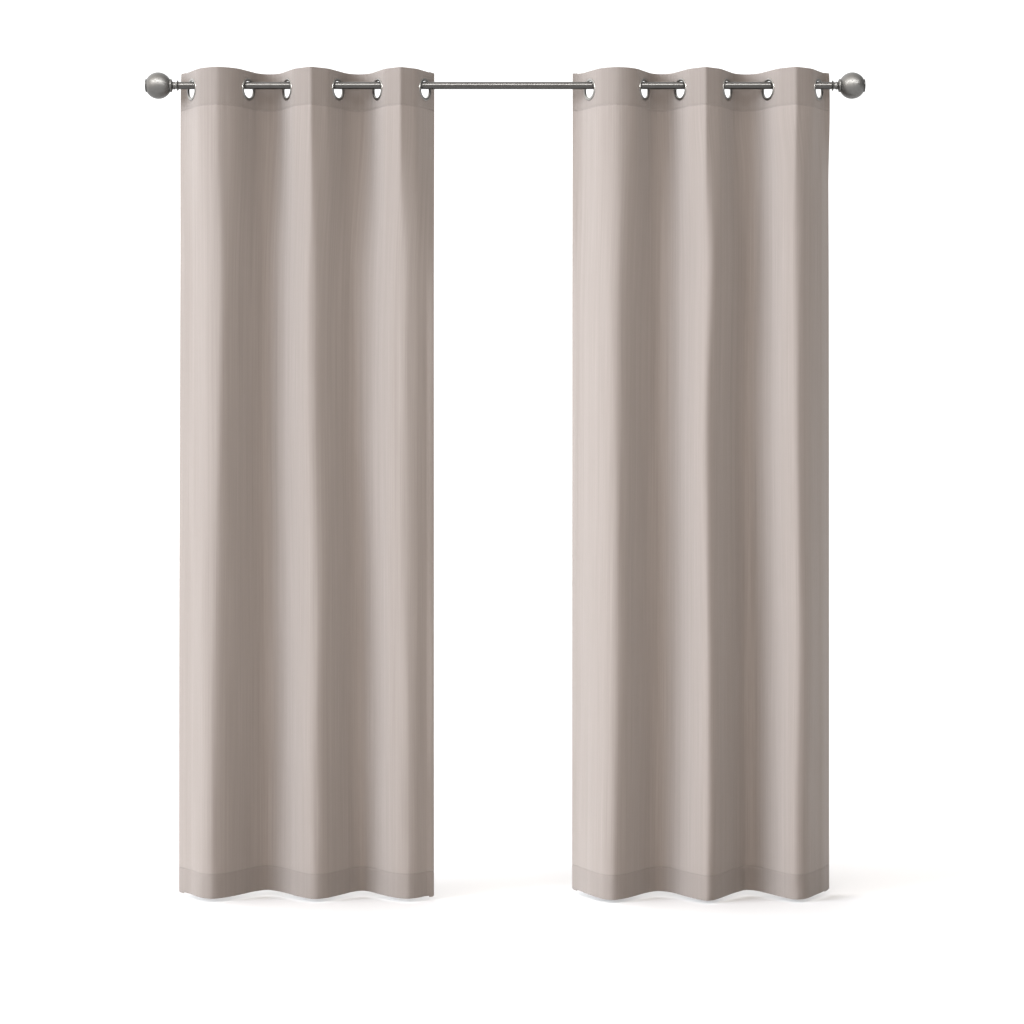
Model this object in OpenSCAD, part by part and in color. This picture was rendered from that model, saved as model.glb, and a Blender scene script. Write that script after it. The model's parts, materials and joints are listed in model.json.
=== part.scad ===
// Pair of grommet-top window curtains on an extending metal rod with ball finials.
// Axes: X along the rod, +Y into the wall, +Z up. The origin lies on the wall plane,
// midway between the two wall brackets and level with the middle of the rod.

/* [Rod] */
// Diameter of the outer rod tube
rod_d = 19; // [15:0.1:24]
// Wall of both rod tubes
tube_wall = 0.8; // [0.6:0.1:1.2]
// Length of the rod between its finials, fully closed
rod_len = 1688; // [1400:1:2200]
// Distance from the wall to the middle of the rod
rod_projection = 102; // [90:1:140]
// Distance from the outer tube's left end to the inner tube's end, fully closed
inner_tube_setback = 168; // [40:1:1200]
// Length of the guide bush in the mouth of the outer tube
bush_len = 30; // [15:1:60]
// Wall of the guide bush
bush_wall = 0.65; // [0.5:0.05:1.5]
// Running gap between the inner tube and the bush, per side
slide_gap = 0.05; // [0.03:0.01:0.1]

/* [Finials] */
// Diameter of the ball
ball_d = 68; // [50:1:80]
// Wall of the hollow ball
ball_wall = 1.6; // [1:0.1:3]
// Diameter of the turned collar that seats the ball
collar_d = 34; // [28:1:40]
// Diameter of the flared bead next to the rod
bead_d = 28; // [24:1:32]
// Narrowest diameter of the neck
neck_d = 17.6; // [14:0.1:20]
// Length of the neck, from the rod's end to the outer face of the collar
neck_len = 23.7; // [20:0.1:32]
// Diameter of the button on the far end of the ball
button_d = 34; // [20:1:40]
// Length of the plug inside the tube
plug_len = 26; // [15:1:40]
// Diameter of the threaded stud that holds the ball
stud_d = 6; // [4:0.5:8]
// How far the stud reaches into the ball
stud_reach = 18; // [10:1:25]

/* [Curtains] */
// Finished length of a panel, from its top edge to its hem
panel_drop = 2134; // [1600:1:2740]
// Thickness of the cloth solid
cloth_t = 1.2; // [0.8:0.1:2]
// Distance from the top edge of the cloth to the middle of a grommet
heading = 48; // [40:1:70]
// Angle between the cloth and the rod where the rod passes through
fold_angle = 60; // [50:1:72]
// Length of the crease gap between two neighbouring folds
crease_gap = 2; // [1.5:0.1:3]
// Distance from each end of the rod to the outermost grommet
ring_from_end = 33; // [31:1:60]
// Length of cloth from the left panel's outermost grommet to its outer edge
left_outer_flap = 50; // [40:0.5:70]
// Length of cloth from the left panel's innermost grommet to its inner edge
left_inner_flap = 44.2; // [40:0.1:90]
// Length of cloth from the right panel's outermost grommet to its outer edge
right_outer_flap = 44; // [40:0.5:70]
// Length of cloth from the right panel's innermost grommet to its inner edge
right_inner_flap = 63.5; // [40:0.1:90]

/* [Grommets] */
// Inner diameter of a grommet
ring_inner_d = 43; // [42:0.5:50]
// Width of a grommet's flat rim
ring_rim = 7; // [5:0.5:8]
// Thickness of the front flange
front_flange = 2; // [1.5:0.1:2.5]
// Thickness of the back flange
back_flange = 1.6; // [1.2:0.1:2]
// Wall of the neck that passes through the cloth
ring_neck_wall = 1.2; // [0.8:0.1:1.6]
// Gap between the top of the rod and the grommet that hangs on it
hang_gap = 1.8; // [1.6:0.1:3]

/* [Brackets] */
// Distance of each bracket from its outermost grommet, towards the window
bracket_inset = 34; // [30:1:40]
// Width of a wall plate
plate_w = 24; // [20:1:30]
// Height of a wall plate
plate_h = 62; // [55:1:80]
// Thickness of a wall plate
plate_t = 3; // [2:0.5:5]
// Distance between the two screw holes of a wall plate
screw_pitch = 40; // [34:1:46]
// Diameter of a screw hole
screw_hole_d = 4.8; // [4:0.1:5.5]
// Diameter of the arm
arm_d = 10; // [8:0.5:12]
// Width of the cradle along the rod
cradle_w = 14; // [10:1:18]
// Wall of the cradle
cradle_wall = 3.6; // [2.5:0.1:5]
// Gap between the rod and the cradle
cradle_gap = 0.4; // [0.2:0.1:0.8]
// Diameter of the thumb screw's thread
thumb_thread_d = 4; // [3:0.5:6]
// Diameter of the thumb screw's head
thumb_head_d = 14; // [10:1:18]

/* [Hidden] */
$fn = 96;

rod_r = rod_d / 2;
rod_y = -rod_projection;
half_rod = rod_len / 2;
outer_ring_x = half_rod - ring_from_end;
end_gap = 0.3;            // between the outer tube and the right finial
seat_gap = 0.05;          // between parts that push or screw together
outer_bore_r = rod_r - tube_wall;
bush_r = outer_bore_r - seat_gap;
bush_bore_r = bush_r - bush_wall;
inner_tube_r = bush_bore_r - slide_gap;
inner_bore_r = inner_tube_r - tube_wall;
inner_tube_len = rod_len - inner_tube_setback;

ring_r = ring_inner_d / 2;
ring_neck_r = ring_r + ring_neck_wall;
ring_outer_r = ring_r + ring_rim;
ring_z = -(ring_r - rod_r - hang_gap);
cloth_hole_gap = 0.3;
cloth_top = ring_z + heading;
flat_half = ring_outer_r + 1;   // the cloth is flat this far each side of a grommet

// Distance from each grommet to the next one along the rod, from the outside inwards
LEFT_SPANS = [146, 101, 131, 103, 122];
RIGHT_SPANS = [130, 106, 121, 94, 141];
// Angle to the rod that each panel edge turns to: [outer edge, inner edge]
LEFT_EDGE_ANGLES = [fold_angle, fold_angle];
RIGHT_EDGE_ANGLES = [10, 0];
// Length of cloth beyond the last grommet at each panel edge: [outer edge, inner edge]
LEFT_FLAPS = [left_outer_flap, left_inner_flap];
RIGHT_FLAPS = [right_outer_flap, right_inner_flap];
RING_COUNT = len(LEFT_SPANS) + 1;

arc_steps = 8;            // straight pieces in a quarter of a fold
edge_steps = 4;           // straight pieces in a turned panel edge

plate_bottom = -plate_h / 2;
cradle_r = rod_r + cradle_gap;
cradle_outer_r = cradle_r + cradle_wall;
cradle_back = cradle_outer_r + 3;       // flat face that the arm meets
bracket_x = outer_ring_x - bracket_inset;
boss_bottom = -(cradle_outer_r + 4);    // flat face under the cradle
thumb_thread_r = thumb_thread_d / 2;
thumb_tip_gap = 0.2;
thumb_head_h = 7;
thumb_head_gap = 1;

RING_NUMBERS = [for (i = [1:RING_COUNT]) i];

// ---- Helpers ----

// Shows its children if their node is wanted
module part(name) {
    children();
}

// The right-hand pieces are the left-hand ones mirrored in the middle of the rod
module on_side(side) {
    if (side == "left") children();
    else mirror([1, 0, 0]) children();
}

// Places a shape that is turned about Z so that it points along -X, away from the rod's left end
module at_left_end() {
    translate([-half_rod, rod_y, 0]) rotate([0, -90, 0]) children();
}

// Sum of the first n values of a list
function sum_to(values, n) = n == 0 ? 0 : values[n - 1] + sum_to(values, n - 1);

function spans(side) = side == "left" ? LEFT_SPANS : RIGHT_SPANS;
function edge_angles(side) = side == "left" ? LEFT_EDGE_ANGLES : RIGHT_EDGE_ANGLES;
function flaps(side) = side == "left" ? LEFT_FLAPS : RIGHT_FLAPS;
function ring_x(side, i) = -outer_ring_x + sum_to(spans(side), i - 1);

// +1 where the cloth comes forward as it goes inwards through the grommet, -1 where it goes back
function slope(i) = i % 2 == 1 ? 1 : -1;

// ---- The line of the cloth, seen from above, as [along the rod, forward, direction] ----

function crown_r(span) = (span / 2 - flat_half * cos(fold_angle)) / sin(fold_angle);
function fold_depth(span) = flat_half * sin(fold_angle) + crown_r(span) * (1 - cos(fold_angle));

// From a grommet to the crease of the fold beside it
function half_fold(span) =
    let (r = crown_r(span), depth = fold_depth(span), last = crease_gap / 2 / r * 180 / PI)
    [for (k = [0:arc_steps])
        let (t = fold_angle + (last - fold_angle) * k / arc_steps)
        [span / 2 - r * sin(t), depth - r * (1 - cos(t)), t]];

// From a grommet to the free edge of the panel, turning to end_angle after the flat stretch
function edge_point(reach, end_angle, k) =
    k == 0
        ? [flat_half * cos(fold_angle), flat_half * sin(fold_angle), fold_angle]
        : let (
            before = edge_point(reach, end_angle, k - 1),
            step = (reach - flat_half) / edge_steps,
            middle = fold_angle + (end_angle - fold_angle) * (k - 0.5) / edge_steps)
          [before[0] + step * cos(middle), before[1] + step * sin(middle),
           fold_angle + (end_angle - fold_angle) * k / edge_steps];
function panel_edge(reach, end_angle) = [for (k = [0:edge_steps]) edge_point(reach, end_angle, k)];

function outward_half(side, i) =
    i == 1 ? panel_edge(flaps(side)[0], edge_angles(side)[0]) : half_fold(spans(side)[i - 2]);
function inward_half(side, i) =
    i == RING_COUNT ? panel_edge(flaps(side)[1], edge_angles(side)[1]) : half_fold(spans(side)[i - 1]);

// The line of one fold piece, from its outer crease through its grommet to its inner crease
function fold_line(side, i) =
    let (out = outward_half(side, i), inn = inward_half(side, i), s = slope(i), n = len(out))
    concat(
        [for (k = [0:n - 1]) let (p = out[n - 1 - k]) [-p[0], -s * p[1], s * p[2]]],
        [for (p = inn) [p[0], s * p[1], s * p[2]]]);

// That line with the cloth's thickness, in the row's X and Y
function offset_side(line, shift) = [for (p = line) [p[0] + shift * sin(p[2]), -p[1] + shift * cos(p[2])]];
function fold_outline(side, i) =
    let (line = fold_line(side, i), back = offset_side(line, -cloth_t / 2))
    concat(offset_side(line, cloth_t / 2), [for (k = [len(back) - 1:-1:0]) back[k]]);

// Places a shape at grommet i, with local X along the cloth and local Y through it, towards the wall
module at_ring(side, i) {
    translate([ring_x(side, i), rod_y, ring_z]) rotate([0, 0, -slope(i) * fold_angle]) children();
}

// ---- Rod ----

module tube(outer_r, bore_r, length) {
    difference() {
        cylinder(r = outer_r, h = length);
        translate([0, 0, -1]) cylinder(r = bore_r, h = length + 2);
    }
}

module outer_rod_tube() {
    color([0.52, 0.51, 0.50])
    translate([-half_rod, rod_y, 0]) rotate([0, 90, 0]) tube(rod_r, outer_bore_r, rod_len - end_gap);
}

module inner_rod_tube() {
    color([0.50, 0.49, 0.48])
    translate([half_rod - inner_tube_len, rod_y, 0]) rotate([0, 90, 0])
        tube(inner_tube_r, inner_bore_r, inner_tube_len);
}

// Plastic guide that keeps the inner tube in the middle of the outer one
module slide_bush() {
    color([0.15, 0.15, 0.16])
    translate([half_rod - end_gap - bush_len, rod_y, 0]) rotate([0, 90, 0])
        tube(bush_r, bush_bore_r, bush_len);
}

// ---- Finials, built pointing up from the rod's end ----

ball_r = ball_d / 2;
ball_flat_r = collar_d / 2 - 2;
ball_sag = ball_r - sqrt(pow(ball_r, 2) - pow(ball_flat_r, 2));
ball_z = neck_len - ball_sag + ball_r;
button_flat_r = button_d / 2 - 2;
button_z = ball_z + sqrt(pow(ball_r, 2) - pow(button_flat_r, 2));

// Insert that fills the tube's end, with the stud that carries neck and ball
module finial_plug(bore_r) {
    color([0.30, 0.30, 0.31])
    union() {
        translate([0, 0, -plug_len]) cylinder(r = bore_r - seat_gap, h = plug_len);
        cylinder(d = stud_d, h = neck_len + stud_reach);
    }
}

// Turned neck: flared bead, cove, half bead and collar
module finial_neck() {
    bead_z = 4;
    cove_z = 8.6;
    half_bead_z = 13.5;
    half_bead_r = neck_d / 2 + 1.6;
    collar_t = 5;
    collar_foot = neck_len - collar_t;
    color([0.47, 0.47, 0.46])
    difference() {
        rotate_extrude() polygon(concat(
            [[0, 0], [rod_r - 1.2, 0], [rod_r - 0.6, 1.2], [bead_d / 2 - 0.8, bead_z - 0.6],
             [bead_d / 2, bead_z], [bead_d / 2 - 0.8, bead_z + 0.6], [rod_r + 0.5, bead_z + 1.8],
             [neck_d / 2, cove_z], [neck_d / 2, cove_z + 1.4]],
            [for (a = [-60:30:60]) [half_bead_r - 1 + cos(a), half_bead_z + 1.6 * sin(a)]],
            [[neck_d / 2, half_bead_z + 3], [collar_d / 2 - 4, collar_foot],
             [collar_d / 2 - 0.8, collar_foot + 0.8], [collar_d / 2, collar_foot + 1.8],
             [collar_d / 2, neck_len - 0.8], [collar_d / 2 - 0.8, neck_len], [0, neck_len]]));
        translate([0, 0, -1]) cylinder(d = stud_d + 2 * seat_gap, h = neck_len + 2);
    }
}

// Hollow ball with a flat and a threaded boss at its foot, and a flat for the button
module finial_ball() {
    inside = button_z - neck_len - 2 * ball_wall;
    color([0.45, 0.45, 0.44])
    difference() {
        translate([0, 0, ball_z]) sphere(r = ball_r);
        translate([0, 0, neck_len - ball_d]) cylinder(r = ball_d, h = ball_d);
        translate([0, 0, button_z]) cylinder(r = ball_d, h = ball_d);
        difference() {
            intersection() {
                translate([0, 0, ball_z]) sphere(r = ball_r - ball_wall);
                translate([0, 0, neck_len + ball_wall]) cylinder(r = ball_d, h = inside);
            }
            translate([0, 0, neck_len]) cylinder(d = 2 * stud_d, h = stud_reach);
        }
        translate([0, 0, neck_len - 1]) cylinder(d = stud_d + 2 * seat_gap, h = stud_reach + 3);
    }
}

// Shallow button on the far end of the ball
module finial_button() {
    button_rise = 3.2;
    color([0.42, 0.42, 0.41])
    translate([0, 0, button_z]) rotate_extrude() polygon([
        [0, 0], [button_d / 2 - 0.6, 0], [button_d / 2, 0.6], [button_d / 2, 1.4],
        [button_d / 2 - 0.8, 2], [button_d / 2 - 5, button_rise - 0.3], [0, button_rise]]);
}

module finial_piece(side, piece) {
    on_side(side) at_left_end() {
        if (piece == "plug") finial_plug(side == "left" ? outer_bore_r : inner_bore_r);
        if (piece == "neck") finial_neck();
        if (piece == "ball") finial_ball();
        if (piece == "button") finial_button();
    }
}

// ---- Brackets, built for the left side ----

module wall_plate() {
    color([0.46, 0.46, 0.45])
    translate([-bracket_x, 0, 0]) rotate([90, 0, 0])
    difference() {
        linear_extrude(plate_t) union() {
            square([plate_w, plate_h - plate_w], center = true);
            for (s = [-1, 1]) translate([0, s * (plate_h - plate_w) / 2]) circle(d = plate_w);
        }
        for (s = [-1, 1])
            translate([0, s * screw_pitch / 2, -1]) cylinder(d = screw_hole_d, h = plate_t + 2);
    }
}

// Round arm with a wider foot against the wall plate
module bracket_arm() {
    foot_h = 5;
    color([0.46, 0.46, 0.45])
    translate([-bracket_x, -plate_t, 0]) rotate([90, 0, 0]) union() {
        cylinder(d1 = arm_d + 6, d2 = arm_d, h = foot_h);
        cylinder(d = arm_d, h = rod_projection - plate_t - cradle_back);
    }
}

// Open hook that carries the rod, with a flat back for the arm and a boss for the thumb screw
module rod_cradle() {
    mouth_from = 30;      // the mouth opens from this angle above the front ...
    mouth_to = 100;       // ... to this one, just past the top
    reach = 3 * cradle_outer_r;
    boss_d = 2 * thumb_thread_d + 2;
    color([0.46, 0.46, 0.45])
    translate([-bracket_x, rod_y, 0]) difference() {
        union() {
            rotate([0, 90, 0]) cylinder(r = cradle_outer_r, h = cradle_w, center = true);
            translate([-cradle_w / 2, 0, -arm_d / 2]) cube([cradle_w, cradle_back, arm_d]);
            translate([0, 0, boss_bottom]) cylinder(d = boss_d, h = -boss_bottom);
        }
        rotate([0, 90, 0]) cylinder(r = cradle_r, h = cradle_w + 2, center = true);
        translate([-cradle_w / 2 - 1, 0, 0]) rotate([90, 0, 90]) linear_extrude(cradle_w + 2)
            polygon([[0, 0], [-reach * cos(mouth_from), reach * sin(mouth_from)],
                     [-reach * cos(mouth_to), reach * sin(mouth_to)]]);
        translate([0, 0, boss_bottom - 1]) cylinder(d = thumb_thread_d + 2 * seat_gap, h = cradle_outer_r);
    }
}

// Knurled screw that clamps the rod from below
module thumb_screw() {
    head_top = boss_bottom - thumb_head_gap;
    knurls = 16;
    color([0.40, 0.40, 0.39])
    translate([-bracket_x, rod_y, 0]) union() {
        translate([0, 0, head_top]) cylinder(r = thumb_thread_r, h = -rod_r - thumb_tip_gap - head_top);
        difference() {
            translate([0, 0, head_top - thumb_head_h]) cylinder(d = thumb_head_d, h = thumb_head_h);
            for (k = [0:knurls - 1])
                rotate([0, 0, 360 * k / knurls])
                translate([thumb_head_d / 2 + 0.3, 0, head_top - thumb_head_h - 1])
                    cylinder(d = 1.4, h = thumb_head_h + 2, $fn = 24);
        }
    }
}

module bracket_piece(side, piece) {
    on_side(side) {
        if (piece == "wall_plate") wall_plate();
        if (piece == "bracket_arm") bracket_arm();
        if (piece == "rod_cradle") rod_cradle();
        if (piece == "thumb_screw") thumb_screw();
    }
}

// ---- Curtains ----

// One stretch of cloth between two creases, with the hole for its grommet
module curtain_fold(side, i) {
    on_side(side) color([0.66, 0.62, 0.58])
    difference() {
        translate([ring_x(side, i), rod_y, cloth_top - panel_drop])
            linear_extrude(panel_drop) polygon(fold_outline(side, i));
        at_ring(side, i) rotate([90, 0, 0])
            cylinder(r = ring_neck_r + cloth_hole_gap, h = 8 * cloth_t, center = true);
    }
}

// Flange seen from the room, with the neck that goes through the cloth
module grommet_front(side, i) {
    neck_end = cloth_t + back_flange;
    bevel = front_flange / 2;
    on_side(side) color([0.55, 0.55, 0.54])
    at_ring(side, i) translate([0, -cloth_t / 2, 0]) rotate([-90, 0, 0])
    rotate_extrude() polygon([
        [ring_r + bevel, -front_flange], [ring_outer_r - bevel, -front_flange],
        [ring_outer_r - bevel / 3, -front_flange + bevel / 3], [ring_outer_r, -front_flange + bevel],
        [ring_outer_r, 0], [ring_neck_r, 0], [ring_neck_r, neck_end],
        [ring_r, neck_end], [ring_r, -front_flange + bevel],
        [ring_r + bevel / 3, -front_flange + bevel / 3]]);
}

// Flange behind the cloth, snapped over the neck
module grommet_back(side, i) {
    bevel = back_flange / 2;
    bore_r = ring_neck_r + seat_gap;
    on_side(side) color([0.52, 0.52, 0.51])
    at_ring(side, i) translate([0, cloth_t / 2, 0]) rotate([-90, 0, 0])
    rotate_extrude() polygon([
        [bore_r, 0], [ring_outer_r, 0], [ring_outer_r, back_flange - bevel],
        [ring_outer_r - bevel, back_flange], [bore_r, back_flange]]);
}

// ---- Everything, one node at a time ----

part("outer_rod_tube") outer_rod_tube();
part("inner_rod_tube") inner_rod_tube();
part("slide_bush") slide_bush();
for (side = ["left", "right"]) {
    for (piece = ["plug", "neck", "ball", "button"])
        part(str(side, "_finial_", piece)) finial_piece(side, piece);
    for (piece = ["wall_plate", "bracket_arm", "rod_cradle", "thumb_screw"])
        part(str(side, "_", piece)) bracket_piece(side, piece);
    for (i = RING_NUMBERS) {
        part(str(side, "_curtain_fold_", i)) curtain_fold(side, i);
        part(str(side, "_grommet_front_", i)) grommet_front(side, i);
        part(str(side, "_grommet_back_", i)) grommet_back(side, i);
    }
}
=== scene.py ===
# %% [markdown]
# # Grommet-top curtains on a metal rod
# Two curtain panels hang on a slim metal rod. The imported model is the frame: it says where every
# tube, grommet and fold is, and how each one moves. The cloth, the rings and the finishes are made
# here around it. Loading comes first, because every later size and place is read from the frame.

import json
import math
from collections import namedtuple

import bmesh
import bpy
import numpy as np
from mathutils import Matrix, Vector, noise


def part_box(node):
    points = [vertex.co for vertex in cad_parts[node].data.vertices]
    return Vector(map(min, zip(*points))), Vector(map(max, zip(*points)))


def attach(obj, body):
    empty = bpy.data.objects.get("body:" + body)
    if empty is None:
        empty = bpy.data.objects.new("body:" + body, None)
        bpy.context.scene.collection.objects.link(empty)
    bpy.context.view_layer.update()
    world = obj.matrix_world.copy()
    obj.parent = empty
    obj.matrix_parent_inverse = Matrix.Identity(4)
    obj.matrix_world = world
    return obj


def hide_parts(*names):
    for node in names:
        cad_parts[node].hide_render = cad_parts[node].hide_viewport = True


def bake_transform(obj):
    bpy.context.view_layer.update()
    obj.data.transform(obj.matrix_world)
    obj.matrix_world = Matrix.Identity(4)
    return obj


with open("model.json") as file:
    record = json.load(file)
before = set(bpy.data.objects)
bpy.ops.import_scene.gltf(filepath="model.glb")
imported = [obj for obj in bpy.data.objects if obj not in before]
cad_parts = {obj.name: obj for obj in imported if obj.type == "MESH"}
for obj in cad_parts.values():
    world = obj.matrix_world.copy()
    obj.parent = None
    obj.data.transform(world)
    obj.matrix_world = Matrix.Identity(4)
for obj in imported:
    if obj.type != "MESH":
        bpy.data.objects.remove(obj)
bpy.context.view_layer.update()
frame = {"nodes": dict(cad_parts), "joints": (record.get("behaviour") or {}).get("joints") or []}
joints = {joint["name"]: joint for joint in frame["joints"]}

# %% [markdown]
# ## Sizes read from the frame
# The rod, a grommet and the cloth give the heights and radii that everything else is tied to.
# Each curtain is worked out along its own line: distance inwards from its outermost grommet, and
# depth towards the room. That way one set of functions serves both the left and the right curtain.

# %% Read the main sizes
rod_low, rod_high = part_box("outer_rod_tube")
rod_y = (rod_low.y + rod_high.y) / 2
rod_r = (rod_high.z - rod_low.z) / 2
ring_low, ring_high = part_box("left_grommet_front_1")
ring_z = (ring_low.z + ring_high.z) / 2
ring_outer_r = (ring_high.z - ring_low.z) / 2
strip_low, strip_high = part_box("left_curtain_fold_1")
top_z, hem_z = strip_high.z, strip_low.z
SIDES = ("left", "right")
GROMMETS = 6


def inward(side):
    """The direction along X that leads from a curtain's outer edge to the middle of the window."""
    return 1 if side == "left" else -1


def grommet_stations(side):
    """Distance of each grommet from the outermost one; every crease lies midway between two."""
    outer_x = joints[f"{side}_curtain_gather"]["pos_m"][0]
    stations = [0.0]
    for number in range(2, GROMMETS + 1):
        crease = abs(joints[f"{side}_fold_{number}_turn"]["pos_m"][0] - outer_x)
        stations.append(2 * crease - stations[-1])
    return outer_x, stations


OUTER_X, RINGS = {}, {}
for side in SIDES:
    OUTER_X[side], RINGS[side] = grommet_stations(side)
    print(side, "grommets at", [round(1000 * s) for s in RINGS[side]], "mm")

# %% [markdown]
# ## The camera
# The curtains are seen straight on from across a room. A long lens at about mid-height keeps the
# rod level and both panels upright; a short lens close by would make them lean apart.

# %% Camera
CAMERA_DISTANCE = 6.4                          # in front of the rod
CAMERA_RIGHT, CAMERA_HEIGHT = 0.0176, -1.104   # from the middle of the rod
camera_data = bpy.data.cameras.new("camera")
camera_data.lens = 86.9
camera_data.sensor_width = 36
camera = bpy.data.objects.new("camera", camera_data)
camera.location = (CAMERA_RIGHT, rod_y - CAMERA_DISTANCE, CAMERA_HEIGHT)
camera.rotation_euler = (math.pi / 2, 0, 0)
bpy.context.scene.collection.objects.link(camera)
bpy.context.scene.camera = camera
print("camera at", tuple(round(v, 3) for v in camera.location))

# %% [markdown]
# ## The lights
# The main light is a broad soft source from the left that grazes the folds, so each fold has a
# bright side and a shaded side. A sun lamp with a wide angle does this without fading across the
# width, as a large far window does. A weak area lamp in front of the middle lifts the shaded sides
# of the left panel, as light from a pale wall would. Neither of them is seen in the metal. A narrow
# strip of light above the viewer draws the highlight along the rod, and is hidden from the cloth.


# %% Lamp helpers
def aim(lamp, target):
    """Turn a lamp so that it shines at a point."""
    lamp.rotation_euler = (Vector(target) - lamp.location).to_track_quat("-Z", "Y").to_euler()


def add_lamp(name, kind, place, target, **settings):
    """A lamp at a place, turned to a target, with its other settings given by name."""
    data = bpy.data.lights.new(name, kind)
    for key, value in settings.items():
        setattr(data, key, value)
    lamp = bpy.data.objects.new(name, data)
    lamp.location = place
    aim(lamp, target)
    bpy.context.scene.collection.objects.link(lamp)
    return lamp


def direction(azimuth, elevation):
    """A unit vector: azimuth in degrees from straight in front of the curtains towards the left."""
    turn, rise = math.radians(azimuth), math.radians(elevation)
    return Vector((-math.sin(turn) * math.cos(rise), -math.cos(turn) * math.cos(rise),
                   math.sin(rise)))


print("a lamp at azimuth 60, elevation 10 lies towards", tuple(direction(60, 10)))

# %% Window, fill and strip lights
MID_HEIGHT = -1.0                              # about halfway down the curtains
panel_middle = Vector((0, rod_y, MID_HEIGHT))
window = add_lamp("window_light", "SUN", panel_middle + 5 * direction(60, 10), panel_middle,
                  energy=4.25, angle=math.radians(34), color=(0.88, 1.0, 1.14))
window.visible_glossy = False
fill_place, fill_target = (0.15, rod_y - 1.6, MID_HEIGHT), (-0.50, rod_y, MID_HEIGHT)
fill = add_lamp("room_fill_light", "AREA", fill_place, fill_target,
                energy=9, shape="RECTANGLE", size=1.2, size_y=2.0, color=(1.0, 0.98, 0.96))
fill.visible_glossy = False
rod_middle = Vector((0, rod_y, 0))
strip = add_lamp("rod_strip_light", "AREA", rod_middle + 2.8 * direction(4, 33), rod_middle,
                 energy=340, shape="RECTANGLE", size=8.0, size_y=0.42, color=(1.0, 1.0, 1.0))
strip.visible_diffuse = False
bpy.context.scene.view_settings.view_transform = "Standard"

# %% [markdown]
# ## Joining nodes with plain arithmetic
# Finishes are built from shader nodes. Writing each Math node by hand is long and hard to read, so
# a small class stands for one socket and turns ordinary sums and products into Math nodes. One
# method makes any other kind of node from its settings and the values of its sockets.


# %% The socket class and a material maker
class Wire:
    """One output socket of a material. Arithmetic on wires adds Math nodes."""

    def __init__(self, tree, socket):
        self.tree, self.socket = tree, socket

    def maths(self, operation, first, second=None):
        values = {0: first} if second is None else {0: first, 1: second}
        return make_node(self.tree, "ShaderNodeMath", {"operation": operation}, values)[0]

    def __add__(self, other):
        return self.maths("ADD", self, other)

    def __radd__(self, other):
        return self.maths("ADD", other, self)

    def __sub__(self, other):
        return self.maths("SUBTRACT", self, other)

    def __rsub__(self, other):
        return self.maths("SUBTRACT", other, self)

    def __mul__(self, other):
        return self.maths("MULTIPLY", self, other)

    def __rmul__(self, other):
        return self.maths("MULTIPLY", other, self)

    def less_than(self, other):
        return self.maths("LESS_THAN", self, other)

    def sine(self):
        return self.maths("SINE", self)

    def size(self):
        return self.maths("ABSOLUTE", self)

    def fraction(self):
        return self.maths("FRACT", self)

    def clamped(self):
        return make_node(self.tree, "ShaderNodeClamp", {}, {"Value": self})[0]


def make_node(tree, kind, settings, values):
    """Add a node with its settings, give its inputs numbers or wires, and return its outputs."""
    node = tree.nodes.new(kind)
    for key, value in settings.items():
        if key == "stops":
            ramp = node.color_ramp
            while len(ramp.elements) < len(value):
                ramp.elements.new(0.5)
            for element, (place, tone) in zip(ramp.elements, value):
                element.position, element.color = place, tone
        else:
            setattr(node, key, value)
    sockets = {socket.name: socket for socket in node.inputs if socket.enabled}
    for key, value in values.items():
        target = node.inputs[key] if isinstance(key, int) else sockets[key]
        if isinstance(value, Wire):
            tree.links.new(value.socket, target)
        else:
            target.default_value = value
    return [Wire(tree, socket) for socket in node.outputs if socket.enabled]


def new_material(name, **constants):
    """A Principled material with its even values set straight on the shader."""
    material = bpy.data.materials.new(name)
    material.use_nodes = True
    shader = material.node_tree.nodes["Principled BSDF"]
    for key, value in constants.items():
        shader.inputs[key.replace("_", " ")].default_value = value
    return material, material.node_tree, shader


def feed(tree, shader, **wires):
    """Link wires to the shader's sockets by name."""
    for key, wire in wires.items():
        tree.links.new(wire.socket, shader.inputs[key.replace("_", " ")])


def set_material(piece, material):
    """Give a piece one material in place of any it has."""
    piece.data.materials.clear()
    piece.data.materials.append(material)


# %% [markdown]
# ## The room
# The room is a world that changes with direction. It is white behind the curtains and overhead, so
# that the floor stays clean, and dimmer to the right, so that the folds keep their shade and the
# metal has something dark to reflect. Behind the viewer it is a little warmer, as a furnished room
# is. Seen directly, it is a plain white backdrop from every side.

# %% The room
ROOM_FRONT = (1.14, 1.04, 0.95, 1)             # colour behind the viewer
ROOM_BACK = (1.4, 1.4, 1.4, 1)                 # colour behind the curtains
ROOM_TOP, ROOM_RIGHT_LOSS = 0.22, 0.92         # light gained overhead and lost at the far right
BACKDROP = 1.3                                 # strength where it is seen directly
world = bpy.data.worlds.new("pale_room")
bpy.context.scene.world = world
world.use_nodes = True
tree = world.node_tree
way = make_node(tree, "ShaderNodeTexCoord", {}, {})[0]
across, away, up = make_node(tree, "ShaderNodeSeparateXYZ", {}, {"Vector": way})
behind_viewer = (0.5 - away).clamped()
room = make_node(tree, "ShaderNodeMix", {"data_type": "RGBA"},
                 {"Factor": behind_viewer, "A": ROOM_BACK, "B": ROOM_FRONT})[0]
seen = make_node(tree, "ShaderNodeLightPath", {}, {})[0]
backdrop = make_node(tree, "ShaderNodeMix", {"data_type": "RGBA"},
                     {"Factor": seen, "A": room, "B": (1, 1, 1, 1)})[0]
tree.links.new(backdrop.socket, tree.nodes["Background"].inputs["Color"])
level = 1 - across * ROOM_RIGHT_LOSS + ((up - 0.5) * 2.5).clamped() * ROOM_TOP
level = level * (1 - seen) + BACKDROP * seen
tree.links.new(level.socket, tree.nodes["Background"].inputs["Strength"])
print("room nodes:", len(tree.nodes))

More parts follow.
